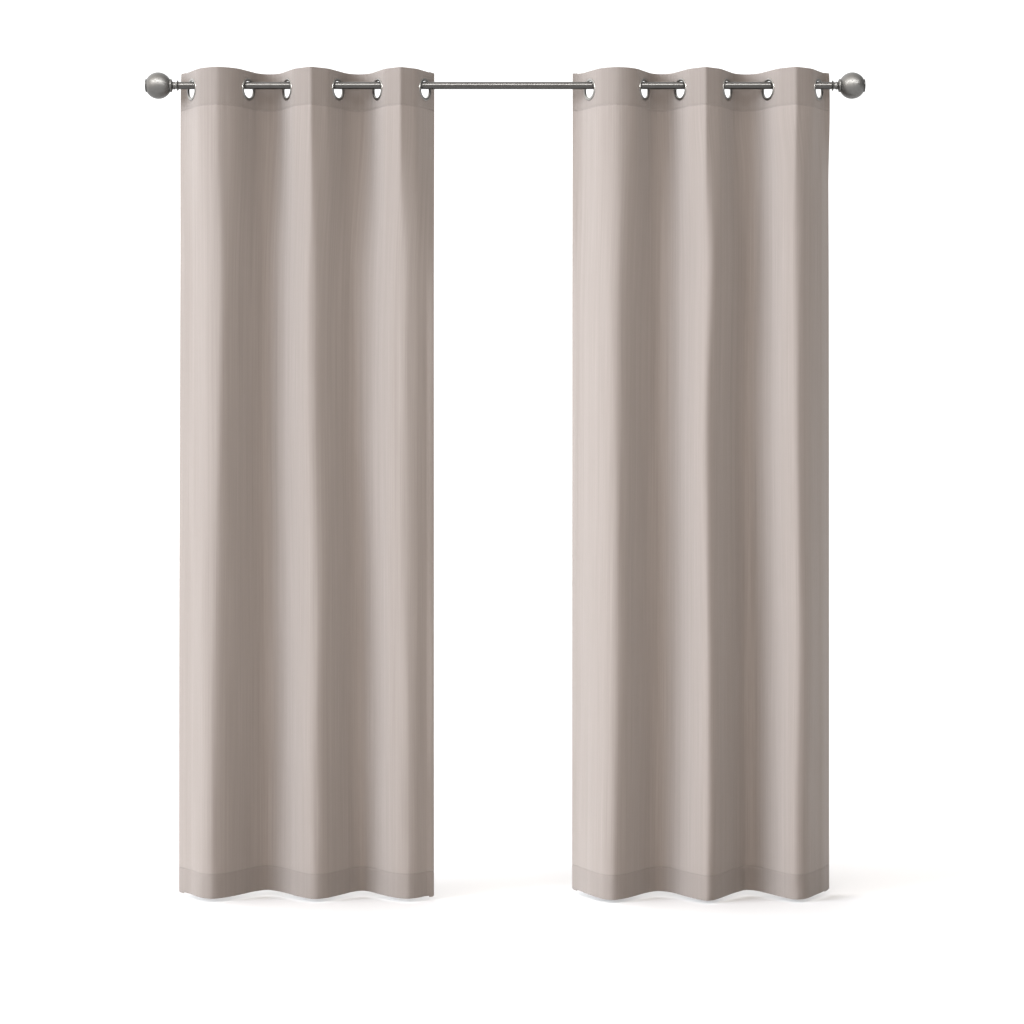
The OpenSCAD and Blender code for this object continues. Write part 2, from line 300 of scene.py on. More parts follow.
# %% [markdown]
# ## The floor
# A plain pale floor lies just under the hems, so that they throw a short soft shadow on it. It is
# one wide sheet, pale enough that the lit part of it reads as white.

# %% Floor
FLOOR_GAP, FLOOR_HALF = 0.012, 30
floor_mesh = bpy.data.meshes.new("floor")
bm = bmesh.new()
bmesh.ops.create_grid(bm, x_segments=2, y_segments=2, size=FLOOR_HALF)
bmesh.ops.translate(bm, verts=bm.verts, vec=(0, 0, hem_z - FLOOR_GAP))
bm.to_mesh(floor_mesh)
bm.free()
floor = bpy.data.objects.new("floor", floor_mesh)
bpy.context.scene.collection.objects.link(floor)
floor_paint, tree, shader = new_material("floor_paint", Roughness=0.9, Specular_IOR_Level=0.1)
shader.inputs["Base Color"].default_value = (0.79, 0.795, 0.805, 1)
set_material(floor, floor_paint)
print("floor at", round(hem_z - FLOOR_GAP, 3))

# %% [markdown]
# ## The line of the cloth at the heading
# Seen from above, cloth on grommets runs in an even snake: it goes straight through the rod at each
# grommet, because the ring holds it flat, and turns round in a crest halfway to the next one. The
# straight part and the arc are added up in short steps of cloth, so no cloth is gained or lost.
# Some crests were pressed when the panel was folded for its packet and still turn sharply: for
# those the arc is traded for a straight slope with the turn kept to the last few millimetres.

# %% Crests and edges of the two panels
# From the outer edge inwards, for each crest or hollow: how sharply it was pressed (0 to 1), how
# far inwards it lies of the middle between its grommets at the top, how much further at the hem,
# its depth at the hem (negative for a hollow), and how widely it is rounded.
Crest = namedtuple("Crest", "pressed start drift depth rounding")
CRESTS = {
    "left": (Crest(0.35, 0.006, -0.024, 0.058, 0.052),
             Crest(0.0, -0.006, -0.004, -0.052, 0.036),
             Crest(0.9, 0.004, 0.016, 0.056, 0.038),
             Crest(0.0, -0.006, 0.006, -0.040, 0.034),
             Crest(0.9, 0.002, 0.006, 0.054, 0.046)),
    "right": (Crest(0.8, 0.0, -0.004, 0.060, 0.044),
              Crest(0.0, -0.011, 0.004, -0.062, 0.034),
              Crest(0.95, -0.008, 0.004, 0.064, 0.024),
              Crest(0.0, 0.0, 0.0, -0.052, 0.054),
              Crest(0.15, 0.004, 0.012, 0.066, 0.052)),
}
# The free edges, outer and inner: length of cloth past the grommet, the angle it ends at, its depth
# at the hem, and over what length below the heading it relaxes.
Edge = namedtuple("Edge", "flap turn depth relax")
EDGES = {
    "left": (Edge(0.056, 44, -0.056, 0.45), Edge(0.0442, 52, 0.012, 0.50)),
    "right": (Edge(0.048, 10, -0.058, 0.22), Edge(0.0635, 0, -0.080, 0.50)),
}
print("crests:", {side: len(crests) for side, crests in CRESTS.items()})

# %% Half a fold and a free flap
FOLD_ANGLE = math.radians(60)
FLAT = ring_outer_r + 0.001            # the cloth is held flat this far from a grommet's middle
FLAT_RUN, FLAT_DEPTH = FLAT * math.cos(FOLD_ANGLE), FLAT * math.sin(FOLD_ANGLE)
FOLD_STEPS, FLAP_STEPS = 120, 30
STEEPER = 1.04                         # a pressed slope is this much steeper than a straight one
UNBEND, PINCH = 0.4, 0.06              # shares of it that leave the ring and turn at the crest


def smooth(t):
    """Ease from 0 to 1 with level ends."""
    t = np.clip(t, 0, 1)
    return t * t * (3 - 2 * t)


def half_fold(span, pressed):
    """Half a fold from its grommet to its crest, as distances along the rod and depths."""
    run = span / 2 - FLAT_RUN
    length = run / math.sin(FOLD_ANGLE) * FOLD_ANGLE
    t = np.linspace(0, 1, FOLD_STEPS + 1)
    even = FOLD_ANGLE * (1 - t)
    slope = math.acos(run / length) * STEEPER
    sharp = slope + (FOLD_ANGLE - slope) * (1 - smooth(t / UNBEND))
    sharp = sharp * (1 - smooth((t - 1 + PINCH) / PINCH))
    angle = even * (1 - pressed) + sharp * pressed
    between = (angle[1:] + angle[:-1]) / 2
    along = np.concatenate([[0], np.cumsum(np.cos(between))])
    depth = np.concatenate([[0], np.cumsum(np.sin(between))]) * length / FOLD_STEPS
    return FLAT_RUN + along / along[-1] * run, FLAT_DEPTH + depth


def flap(edge):
    """A free edge beyond the last grommet, turning from the fold's angle to its own."""
    t = np.linspace(0, 1, FLAP_STEPS + 1)[1:]
    angle = FOLD_ANGLE + (math.radians(edge.turn) - FOLD_ANGLE) * t
    step = (edge.flap - FLAT) / FLAP_STEPS
    along = np.concatenate([[0], np.cumsum(np.cos(angle)) * step])
    depth = np.concatenate([[0], np.cumsum(np.sin(angle)) * step])
    return FLAT_RUN + along, FLAT_DEPTH + depth


print("a pressed half fold ends at (mm)", [round(1000 * v[-1]) for v in half_fold(0.13, 0.9)])


# %% The whole line at the heading
def heading_line(side):
    """The whole panel's line at the rod: distance inwards and depth towards the room."""
    rings, crests = RINGS[side], CRESTS[side]
    folds = [half_fold(rings[k + 1] - rings[k], crest.pressed) for k, crest in enumerate(crests)]
    outward = [flap(EDGES[side][0])] + folds
    inwards = folds + [flap(EDGES[side][1])]
    along, depth = [], []
    for k, place in enumerate(rings):
        forward = 1 if k % 2 == 0 else -1
        along += [place - outward[k][0][::-1], place + inwards[k][0]]
        depth += [-forward * outward[k][1][::-1], forward * inwards[k][1]]
    along, depth = np.concatenate(along), np.concatenate(depth)
    keep = np.concatenate([[True], np.diff(along) > 1e-7])
    return along[keep], depth[keep]


HEADING = {side: heading_line(side) for side in SIDES}
for side in SIDES:
    along, depth = HEADING[side]
    length = np.hypot(np.diff(along), np.diff(depth)).sum()
    print(side, "panel is", round(1000 * length), "mm wide flat and hangs",
          round(1000 * (along[-1] - along[0])), "mm wide")

# %% [markdown]
# ## How the folds change on the way down
# Below the heading nothing holds the cloth to the grommets' angle. The folds relax into straight
# slopes with rounded crests, they get a little deeper, and some wander sideways. This is written as
# a zigzag whose corners are rounded off: each corner adds a smooth ramp, so its place, depth and
# roundness can all change with height. Height is blended in from the heading line.

# %% Corners of the hanging folds
SHALLOW_TOP = 0.22                     # how much shallower the folds are at the top than at the hem
EDGE_RISE = {"left": 0.026, "right": 0.0}        # the outer edge comes forward by this at the hem
DRIFT_POWER = 1.6                      # a crest drifts more in the lower half
WANDER, WANDER_RATE = 0.011, 1.7       # reach, and turns of the noise per metre of height


def wander(z, seed):
    """A slow sideways wander down the cloth, the same every time."""
    return np.array([WANDER * noise.noise(Vector((seed, WANDER_RATE * h, 0.3))) for h in z])


def corners(side, z):
    """Places and depths of the two edges and the crests between them, at each height."""
    line, rings = HEADING[side][0], RINGS[side]
    outer, inner = EDGES[side]
    down = smooth((top_z - z) / (top_z - hem_z))
    places, depths = [np.full_like(z, line[0])], [outer.depth + EDGE_RISE[side] * down]
    for k, crest in enumerate(CRESTS[side]):
        middle = (rings[k] + rings[k + 1]) / 2 + crest.start
        places.append(middle + crest.drift * down ** DRIFT_POWER + wander(z, 3.1 * k + len(side)))
        depths.append(crest.depth)
    places.append(np.full_like(z, line[-1]))
    depths.append(inner.depth)
    return places, [depth * (1 - SHALLOW_TOP * (1 - down)) for depth in depths]


def slopes_between(places, depths):
    """Slope of the cloth from each corner to the next."""
    return [(depths[j + 1] - depths[j]) / (places[j + 1] - places[j])
            for j in range(len(places) - 1)]


places, targets = corners("left", np.array([0.0, -1.0, -2.0]))
print("first crest lies at (mm)", (1000 * places[1]).round().tolist())


# %% Rounded folds
def hanging_depth(side, along, z):
    """Depth of the relaxed folds, as a table with one row per height and one column per place."""
    places, targets = corners(side, z)
    rounding = [0] + [crest.rounding for crest in CRESTS[side]]
    depths = list(targets)
    for _ in range(3):      # rounding a crest cuts it down, so the corner is set further out
        slopes = slopes_between(places, depths)
        for j in range(1, len(slopes)):
            depths[j] = targets[j] - (slopes[j] - slopes[j - 1]) * rounding[j] / 2
    table = depths[0][:, None] + slopes[0][:, None] * (along[None, :] - places[0][:, None])
    for j in range(1, len(slopes)):
        bend = (slopes[j] - slopes[j - 1])[:, None]
        away = along[None, :] - places[j][:, None]
        table += bend * (away + np.sqrt(away ** 2 + rounding[j] ** 2)) / 2
    return table + edge_curl(side, along, z)


CURL_WIDE, CURL_DEEP = 0.022, 0.016    # the strip along an edge that curls, and how far
OUTER_CURL = {"left": 0.0, "right": -0.016}


def edge_curl(side, along, z):
    """The inner edge rolls forward, more at some heights than others; the outer one rolls back."""
    line = HEADING[side][0]
    inner = smooth((along - line[-1]) / CURL_WIDE + 1)[None, :]
    outer = smooth((line[0] - along) / CURL_WIDE + 1)[None, :]
    amount = [max(0.0, 0.5 + noise.noise(Vector((len(side), 1.6 * h, 7.0)))) for h in z]
    return CURL_DEEP * inner * np.array(amount)[:, None] + OUTER_CURL[side] * outer


probe = hanging_depth("left", np.linspace(-0.02, 0.6, 9), np.array([-1.0, -2.0]))
print("relaxed depths in mm at two heights:", (1000 * probe).round().tolist())

# %% Flare, wrinkles and the whole depth
FLARE_TOP, FLARE_HEM, FLARE_POWER = 0.002, 0.010, 0.4    # the outer edge hangs this far outwards
LONG_RIPPLE, CRUMPLE, PUCKER = 0.0042, 0.0030, 0.0009    # unevenness: all over, hem, heading
WRINKLE_SEED = {"left": 11.0, "right": 37.0}
RELAX_FROM = 0.07                      # distance below the top where the heading lets go


def flare(side, a, h):
    """How far the cloth beyond the outermost grommet hangs outwards of its place at the rod."""
    share = float(smooth(a / HEADING[side][0][0]))
    below = max(0.0, (top_z - h) / (top_z - hem_z))
    return share * (FLARE_TOP + (FLARE_HEM - FLARE_TOP) * below ** FLARE_POWER)


def wrinkles(side, along, z):
    """Small unevenness of hanging cloth: long soft ripples, puckers, and crumpling at the hem."""
    seed = WRINKLE_SEED[side]
    table = np.zeros((len(z), len(along)))
    for i, h in enumerate(z):
        ripple = LONG_RIPPLE * float(smooth((top_z - h - 0.10) / 0.4))
        crumple = CRUMPLE * float(smooth(1 - (h - hem_z) / 0.28))
        pucker = PUCKER * float(smooth(1 - abs(top_z - h - 0.10) / 0.06))
        for j, a in enumerate(along):
            value = ripple * noise.noise(Vector((a * 17 + seed, h * 1.3, 0.0)))
            value += ripple * 0.4 * noise.noise(Vector((a * 44 + seed, h * 2.6, 5.0)))
            if crumple > 0:
                value += crumple * noise.noise(Vector((a * 24 + seed, h * 15, 9.0)))
            if pucker > 0:
                value += pucker * noise.noise(Vector((a * 90 + seed, h * 18, 2.0)))
            table[i, j] = value
    return table


def depth_table(side, along, z):
    """Depth towards the room at each height and each place along the rod."""
    at_rod = np.interp(along, *HEADING[side])[None, :]
    lengths = [edge.relax for edge in EDGES[side]]
    over = np.interp(along, [RINGS[side][0], RINGS[side][1]], lengths)[None, :]
    relaxed = smooth(((top_z - z)[:, None] - RELAX_FROM) / over)
    return at_rod * (1 - relaxed) + hanging_depth(side, along, z) * relaxed


probe = depth_table("left", np.linspace(-0.02, 0.6, 9), np.array([0.0, -1.0, -2.0]))
print("depths in mm at three heights:", (1000 * probe).round().tolist())

# %% [markdown]
# ## Rows and columns of the cloth
# A panel is one cloth, but it has to bend between the folds' bodies, and a blend crosses only one
# joint. So it is made in five pieces, from one grommet's middle line to the next, whose edges share
# the same points. The cloth is turned over at the top, the hem and the side edges, as a sewer does,
# so each list of rows or columns also holds the turned-under layer with its distance behind.

# %% Rows
HEADING_BAND, HEM_BAND, SIDE_HEM = 0.098, 0.064, 0.012
STITCH_IN = 0.002                      # the stitch line lies this far inside a band's edge
HEADING_SEAM = top_z - HEADING_BAND + STITCH_IN
HEM_SEAM = hem_z + HEM_BAND - STITCH_IN
NEAR_SEAM = (0.004, 0.002, 0.001, 0.0, -0.001, -0.002)   # close rows that shape the stitch line


def steps(start, end, size):
    """Even steps of about a size from start up to, but without, end."""
    count = max(1, round(abs(end - start) / size))
    return [start + (end - start) * n / count for n in range(count)]


def cloth_rows():
    """(height, turned-under share) down the cloth: turned heading, front, turned hem."""
    rows = [(h, 1.0) for h in steps(top_z - HEADING_BAND, top_z - 0.0016, 0.003)]
    rows += [(top_z - 0.0008, 1.0), (top_z - 0.0003, 0.8), (top_z - 0.0001, 0.5),
             (top_z - 0.0003, 0.2)]
    front = steps(top_z - 0.0008, HEADING_SEAM + 0.004, 0.003)
    front += [HEADING_SEAM + d for d in NEAR_SEAM]
    front += steps(HEADING_SEAM - 0.004, HEADING_SEAM - 0.04, 0.005)
    front += steps(HEADING_SEAM - 0.04, HEM_SEAM + 0.004, 0.012)
    front += [HEM_SEAM + d for d in NEAR_SEAM]
    front += steps(HEM_SEAM - 0.004, hem_z, 0.006) + [hem_z]
    rows += [(h, 0.0) for h in front]
    rows += [(hem_z - 0.0004, 0.2), (hem_z - 0.0006, 0.5), (hem_z - 0.0004, 0.8)]
    return rows + [(h, 1.0) for h in steps(hem_z, hem_z + HEM_BAND, 0.007) + [hem_z + HEM_BAND]]


ROWS = cloth_rows()
print("rows:", len(ROWS))


# %% Columns
FINE, BROAD, EDGE_STEP = 0.0013, 0.0026, 0.0024     # column widths near rings, between, at edges
TURN_DEPTHS = ((0.0003, 0.8), (0.0004, 0.5), (0.0003, 0.2))   # the round of a turned side edge


def cloth_columns(side, k):
    """(distance inwards, turned-under share) across piece k, from one grommet to the next."""
    rings, line = RINGS[side], HEADING[side][0]
    start, end = rings[k], rings[k + 1]
    front = [start, start + 0.0006] + steps(start + 0.0016, start + FLAT_RUN, FINE)
    front += steps(start + FLAT_RUN, end - FLAT_RUN, BROAD)
    front += steps(end - FLAT_RUN, end - 0.0016, FINE) + [end - 0.0016, end - 0.0006]
    before, after = [], []
    if k == 0:
        edge = line[0]
        before = [(c, 1.0) for c in steps(edge + SIDE_HEM, edge, 0.003) + [edge]]
        before += [(edge - d, turned) for d, turned in TURN_DEPTHS]
        outer = steps(edge, start - FLAT_RUN, EDGE_STEP) + steps(start - FLAT_RUN, start, FINE)
        front = outer + front
    if k == GROMMETS - 2:
        edge = line[-1]
        front += steps(end, end + FLAT_RUN, FINE) + steps(end + FLAT_RUN, edge, EDGE_STEP) + [edge]
        after = [(edge + d, turned) for d, turned in reversed(TURN_DEPTHS)]
        after += [(c, 1.0) for c in steps(edge, edge - SIDE_HEM, 0.003) + [edge - SIDE_HEM]]
    else:
        front += [end]
    return before + [(c, 0.0) for c in front] + after


print("columns:", [len(cloth_columns("left", k)) for k in range(GROMMETS - 1)])

# %% [markdown]
# ## Making one piece of cloth
# A flat grid is the natural start for woven cloth: its rows and columns are the weft and the warp.
# Each grid point is moved to its place on the fold, the holes for the grommets are cut and pulled
# round, and the sheet is given its thickness. The cloth's own length coordinates are kept at each
# point and become the UV map, so the weave follows the cloth however it hangs.


# %% Layers and seams
FACE = 0.00055                         # outer face of a layer, from the middle of the grommet's gap
UNDER_HEM, IN_CORNER = 2.2, 1.2        # how many faces deeper a band lies where side hems cross it
HEM_STEP = 0.003                       # the band steps back to its own level over this width
SEAM_DEEP, SEAM_WIDE = 0.0010, 0.0018


def layer_face(column_turn, row_turn, from_edge):
    """Where the cloth's outer face lies, in front of the middle, as the layers fold behind."""
    under_edge = 1 - float(smooth((from_edge - SIDE_HEM) / HEM_STEP))
    first = FACE * (1 - 2 * column_turn)
    if row_turn == 0:
        return first
    turned = (-FACE - UNDER_HEM * FACE * under_edge) * (1 - column_turn)
    turned -= IN_CORNER * FACE * column_turn
    return first * (1 - row_turn) + turned * row_turn


def seam_dip(z):
    """The stitched lines pull the cloth in slightly."""
    return sum(SEAM_DEEP * math.exp(-((z - seam) / SEAM_WIDE) ** 2)
               for seam in (HEADING_SEAM, HEM_SEAM))


print("dip at a seam (mm):", round(1000 * seam_dip(HEM_SEAM), 2))


# %% Tables for one piece
NUDGE = 0.0005                         # the slope is read this far to each side of a point


def piece_tables(side, along, z):
    """Depth, slope and distance along the cloth at each row and column."""
    depth = depth_table(side, along, z) + wrinkles(side, along, z)
    ahead, behind = depth_table(side, along + NUDGE, z), depth_table(side, along - NUDGE, z)
    line, heading_depth = HEADING[side]
    wide = np.linspace(line[0], line[-1], 900)
    travel = np.hypot(np.diff(wide)[None, :], np.diff(depth_table(side, wide, z), axis=1))
    travel = np.concatenate([np.zeros((len(z), 1)), np.cumsum(travel, axis=1)], axis=1)
    cloth_width = np.hypot(np.diff(line), np.diff(heading_depth)).sum()
    across = np.array([np.interp(along, wide, row) / row[-1] * cloth_width for row in travel])
    return depth, (ahead - behind) / (2 * NUDGE), across


def down_cloth(h, row_turn):
    """Distance down the cloth from its top edge; turned layers go on past the edge."""
    if row_turn == 0:
        return top_z - h
    at_heading = h > (top_z + hem_z) / 2
    return h - top_z if at_heading else h - hem_z + top_z - hem_z


print("tables for", len(ROWS), "rows")

# %% Cloth piece maker
CLOTH_T = 0.0005
HOLE_R = ring_outer_r - 0.0052         # the cut edge lies round the neck, hidden by the rings
HOLE_SNAP = 0.004                      # points this close outside the hole are pulled to its edge
HEM_DROP = 0.05                        # the front folds hang this much lower, per metre of depth
DROP_FROM, DROP_OVER = 1.2, 0.8        # from this far below the top, over this length
HEM_SAG, TOP_RISE = 0.0050, 0.0012     # the turned edges stay within these of the hem and the top


def make_cloth(side, k):
    """A flat grid with each point moved to its place on the folds, then holed and thickened."""
    columns, line = cloth_columns(side, k), HEADING[side][0]
    along = np.array([c[0] for c in columns])
    z = np.array([r[0] for r in ROWS])
    depth, slope, across = piece_tables(side, along, z)
    edge = line[0] if k == 0 else line[-1]
    bm = bmesh.new()
    bmesh.ops.create_grid(bm, x_segments=len(columns) - 1, y_segments=len(ROWS) - 1, size=0.5)
    u_layer = bm.verts.layers.float.new("across")
    v_layer = bm.verts.layers.float.new("down")
    for vert in bm.verts:
        j = round((vert.co.x + 0.5) * (len(columns) - 1))
        i = round((0.5 - vert.co.y) * (len(ROWS) - 1))
        (a, column_turn), (h, row_turn) = columns[j], ROWS[i]
        face = layer_face(column_turn, row_turn, min(a - line[0], line[-1] - a))
        face -= seam_dip(h) * (1 - column_turn) * (1 - row_turn)
        lean = math.hypot(1, slope[i, j])
        inwards = a - flare(side, a, h) - face * slope[i, j] / lean
        drop = HEM_DROP * depth[i, j] * float(smooth((top_z - h - DROP_FROM) / DROP_OVER))
        vert.co = (OUTER_X[side] + inward(side) * inwards, rod_y - depth[i, j] - face / lean,
                   h - drop)
        vert[u_layer] = across[i, j] + column_turn * 2 * (edge - a)
        vert[v_layer] = down_cloth(h, row_turn)
    cut_holes(bm, side, k)
    if side == "right":
        bmesh.ops.reverse_faces(bm, faces=bm.faces)
    bm.normal_update()
    bmesh.ops.solidify(bm, geom=bm.faces, thickness=CLOTH_T)
    for vert in bm.verts:       # the wall can overshoot where two turned edges meet in a corner
        vert.co.z = min(max(vert.co.z, hem_z - HEM_SAG), top_z + TOP_RISE)
    return finish_cloth(bm, f"{side}_curtain_cloth_{k + 1}", u_layer, v_layer)


def cut_holes(bm, side, k):
    """Open the cloth round each grommet's neck and pull the cut edge into a circle."""
    for place in (RINGS[side][k], RINGS[side][k + 1]):
        x = OUTER_X[side] + inward(side) * place
        centre = Vector((x, rod_y, ring_z))
        near = [v for v in bm.verts if abs(v.co.z - ring_z) < 0.04 and abs(v.co.x - x) < 0.02]
        inside = {v for v in near if (v.co - centre).length < HOLE_R - 0.0004}
        gone = [f for f in bm.faces if any(v in inside for v in f.verts)]
        rim = {v for f in gone for v in f.verts} - inside
        bmesh.ops.delete(bm, geom=gone, context="FACES")
        for vert in rim:
            distance = (vert.co - centre).length if vert.is_valid else math.inf
            if distance >= HOLE_R + HOLE_SNAP:
                continue
            pulled = centre + (vert.co - centre) * (HOLE_R / distance)
            if abs(vert.co.x - x) < 1e-5:      # on the line shared by two pieces: up or down only
                vert.co.z = pulled.z
            else:
                vert.co = pulled


def finish_cloth(bm, name, u_layer, v_layer):
    """Keep the cloth's own coordinates as a UV map and turn the mesh into an object."""
    uv_layer = bm.loops.layers.uv.new("cloth")
    for face in bm.faces:
        face.smooth = True
        for loop in face.loops:
            loop[uv_layer].uv = (loop.vert[u_layer], loop.vert[v_layer])
    mesh = bpy.data.meshes.new(name)
    bm.to_mesh(mesh)
    bm.free()
    mesh.set_sharp_from_angle(angle=math.radians(50))
    piece = bpy.data.objects.new(name, mesh)
    bpy.context.scene.collection.objects.link(piece)
    return piece


CLOTH = {(side, k): make_cloth(side, k) for side in SIDES for k in range(GROMMETS - 1)}
print("cloth pieces:", len(CLOTH), "faces:", sum(len(p.data.polygons) for p in CLOTH.values()))

# %% [markdown]
# ## Cloth in place of the fold parts
# Each piece hangs between two grommets. It is fixed where it was made, and the frame's fold parts
# that it stands for are hidden.

# %% Put the cloth in place of the fold parts
for (side, k), piece in CLOTH.items():
    rings = RINGS[side]
    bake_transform(piece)
    replaced = [f"{side}_curtain_fold_{k + 1}"]
    if k == GROMMETS - 2:
        replaced.append(f"{side}_curtain_fold_{GROMMETS}")
    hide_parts(*replaced)
    line = HEADING[side]
    low = rings[k] if k else line[0][0]
    high = rings[k + 1] if k < GROMMETS - 2 else line[0][-1]
    along = np.linspace(low, high, 400)
    width = float(np.hypot(np.diff(along), np.diff(np.interp(along, *line))).sum())
    width += SIDE_HEM * (k in (0, GROMMETS - 2))
    top_z - hem_z + HEADING_BAND + HEM_BAND

# %% [markdown]
# ## The cloth's finish
# The curtains are a greige woven cloth with fine uneven vertical threads, thicker slubs here and
# there, and a slight sheen. The colour is streaked along the warp with noise that is stretched down
# the cloth's own UV map, and the weave is a fine bump. Where the cloth is double, at the heading
# and the hem, less light comes through, so it is a little darker.

# %% Threads of the cloth
cloth_paint, tree, shader = new_material(
    "curtain_weave", Roughness=0.82, Sheen_Weight=0.35, Sheen_Roughness=0.45,
    Specular_IOR_Level=0.25)
shader.inputs["Sheen Tint"].default_value = (1.0, 0.98, 0.96, 1)
uv_out = make_node(tree, "ShaderNodeUVMap", {"uv_map": "cloth"}, {})[0]
u, v, _ = make_node(tree, "ShaderNodeSeparateXYZ", {}, {"Vector": uv_out})


def add_noise(tree, place, scale=1.0, detail=2.0):
    """A noise texture read at a place."""
    values = {"Vector": place, "Scale": scale, "Detail": detail}
    return make_node(tree, "ShaderNodeTexNoise", {}, values)[0]


def add_bump(tree, height, strength, distance):
    """A bump that raises the surface by a height map."""
    values = {"Strength": strength, "Distance": distance, "Height": height}
    return make_node(tree, "ShaderNodeBump", {}, values)[0]


def thread_noise(across, down, seed=0.0):
    """Noise stretched along the threads: sizes are in metres."""
    parts = {"X": u * (1 / across), "Y": v * (1 / down), "Z": seed}
    return add_noise(tree, make_node(tree, "ShaderNodeCombineXYZ", {}, parts)[0])


fine = thread_noise(0.0012, 0.30)
broad = thread_noise(0.007, 1.4, seed=4.0)
slub = ((thread_noise(0.0016, 0.045, seed=9.0) - 0.62) * 6).clamped()
print("thread noises share", len(tree.nodes), "nodes")

# %% Colour and relief of the cloth
DARK, MIDDLE, LIGHT = (0.176, 0.147, 0.128, 1), (0.236, 0.202, 0.181, 1), (0.298, 0.260, 0.236, 1)
THREAD = 0.0007                        # repeat of the weave
STITCH, STITCH_LENGTH, STITCH_SHARE = 0.0006, 0.0034, 0.72
cloth_drop = top_z - hem_z
tone = 0.5 + (fine - 0.5) * 0.60 + (broad - 0.5) * 0.40 + slub * 0.10
weave_colour = make_node(tree, "ShaderNodeValToRGB",
                         {"stops": [(0.0, DARK), (0.5, MIDDLE), (1.0, LIGHT)]}, {"Fac": tone})[0]
double = (v.less_than(HEADING_BAND) + (cloth_drop - v).less_than(HEM_BAND)).clamped()
stitch = ((v - HEADING_BAND + STITCH_IN).size().less_than(STITCH)
          + (cloth_drop - HEM_BAND + STITCH_IN - v).size().less_than(STITCH))
stitch = stitch * (u * (1 / STITCH_LENGTH)).fraction().less_than(STITCH_SHARE)
shade = make_node(tree, "ShaderNodeCombineXYZ", {},
                  {axis: 1 - double * 0.12 - stitch * 0.22 for axis in "XYZ"})[0]
weave_colour = make_node(tree, "ShaderNodeVectorMath", {"operation": "MULTIPLY"},
                         {0: weave_colour, 1: shade})[0]
warp = (u * (2 * math.pi / THREAD)).sine()
weft = (v * (2 * math.pi / THREAD)).sine()
height = warp * weft * 0.25 + fine * 0.9 + slub * 0.5
feed(tree, shader, Base_Color=weave_colour, Normal=add_bump(tree, height, 0.35, 0.0003))
for piece in CLOTH.values():
    set_material(piece, cloth_paint)
print("cloth finish uses", len(tree.nodes), "nodes")

# %% [markdown]
# ## Grommets
# Each grommet is two pressed metal rings that grip the cloth between them. They are turned shapes,
# so each is one profile spun all the way round, then laid into the cloth at its grommet's angle.
# A spin gives an even round with few points, where a torus or a boolean cut would not follow the
# pressed profile.


# %% Spin maker
def spin_piece(name, profile, matrix, body, node, steps_round=72):
    """Turn a profile of (radius, height) points about Z, then place it with a matrix."""
    bm = bmesh.new()
    points = [bm.verts.new((radius, 0, height)) for radius, height in profile]
    edges = [bm.edges.new(pair) for pair in zip(points, points[1:])]
    bmesh.ops.spin(bm, geom=points + edges, axis=(0, 0, 1), cent=(0, 0, 0), angle=2 * math.pi,
                   steps=steps_round, use_merge=True, use_duplicate=False)
    bmesh.ops.remove_doubles(bm, verts=bm.verts, dist=1e-6)
    bmesh.ops.dissolve_degenerate(bm, edges=bm.edges, dist=1e-7)
    bmesh.ops.transform(bm, verts=bm.verts, matrix=matrix)
    bmesh.ops.recalc_face_normals(bm, faces=bm.faces)
    for face in bm.faces:
        face.smooth = True
    mesh = bpy.data.meshes.new(name)
    bm.to_mesh(mesh)
    bm.free()
    mesh.set_sharp_from_angle(angle=math.radians(35))
    piece = bpy.data.objects.new(name, mesh)
    bpy.context.scene.collection.objects.link(piece)
    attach(piece, body)
    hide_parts(node)
    return piece


def arc(radius, height, size_r, size_h, start, end, count):
    """Points of an elliptical arc, with angles in degrees."""
    turns = [math.radians(start + (end - start) * n / (count - 1)) for n in range(count)]
    return [(radius + size_r * math.cos(t), height + size_h * math.sin(t)) for t in turns]


def grommet_matrix(side, k):
    """Local Z points out of the cloth towards the room, local X runs along the cloth."""
    forward = 1 if k % 2 == 0 else -1
    tangent = Vector((inward(side) * math.cos(FOLD_ANGLE), -forward * math.sin(FOLD_ANGLE), 0))
    normal = Vector((-inward(side) * forward * math.sin(FOLD_ANGLE), -math.cos(FOLD_ANGLE), 0))
    up = normal.cross(tangent)
    place = Vector((OUTER_X[side] + inward(side) * RINGS[side][k], rod_y, ring_z))
    return Matrix((tangent, up, normal)).transposed().to_4x4(), place


print("first grommet stands at", tuple(round(c, 3) for c in grommet_matrix("left", 0)[1]))

# %% [markdown]
# ## Front and back rings
# The front ring is domed and rolls over into the neck that the rod runs through. The neck passes
# through the cloth's hole and ends behind the flat back ring, which has slightly rounded edges.
# Both profiles are built from the ring's radii and the cloth's thickness, so the rings grip it.

# %% Ring profiles
RIM = 0.007                            # width of a ring, from its opening to its outside
NECK, GRIP, DOME = 0.0012, 0.0006, 0.0019    # neck wall, half the gap for cloth, dome's height
BEHIND = 0.0016                        # how far the neck comes out behind the gap
CLEARANCE, BACK_T = 0.00005, 0.0012    # of the back ring round the neck, and its thickness
ring_r = ring_outer_r - RIM
neck_r, back_r = ring_r + NECK, ring_r + NECK + CLEARANCE
mid_r = (ring_r + ring_outer_r) / 2
front_profile = [(neck_r, -GRIP - BEHIND), (neck_r, GRIP), (ring_outer_r - 0.0004, GRIP)]
front_profile += arc(mid_r, GRIP + 0.0003, ring_outer_r - mid_r, DOME, -6, 186, 19)
front_profile += [(ring_r, -GRIP - 0.0012), (ring_r + 0.0003, -GRIP - BEHIND), front_profile[0]]
back_profile = [(back_r, -GRIP), (back_r, -GRIP - BACK_T)]
back_profile += arc(neck_r + 0.0012, -GRIP - BACK_T, 0.0011, 0.0004, 180, 270, 4)
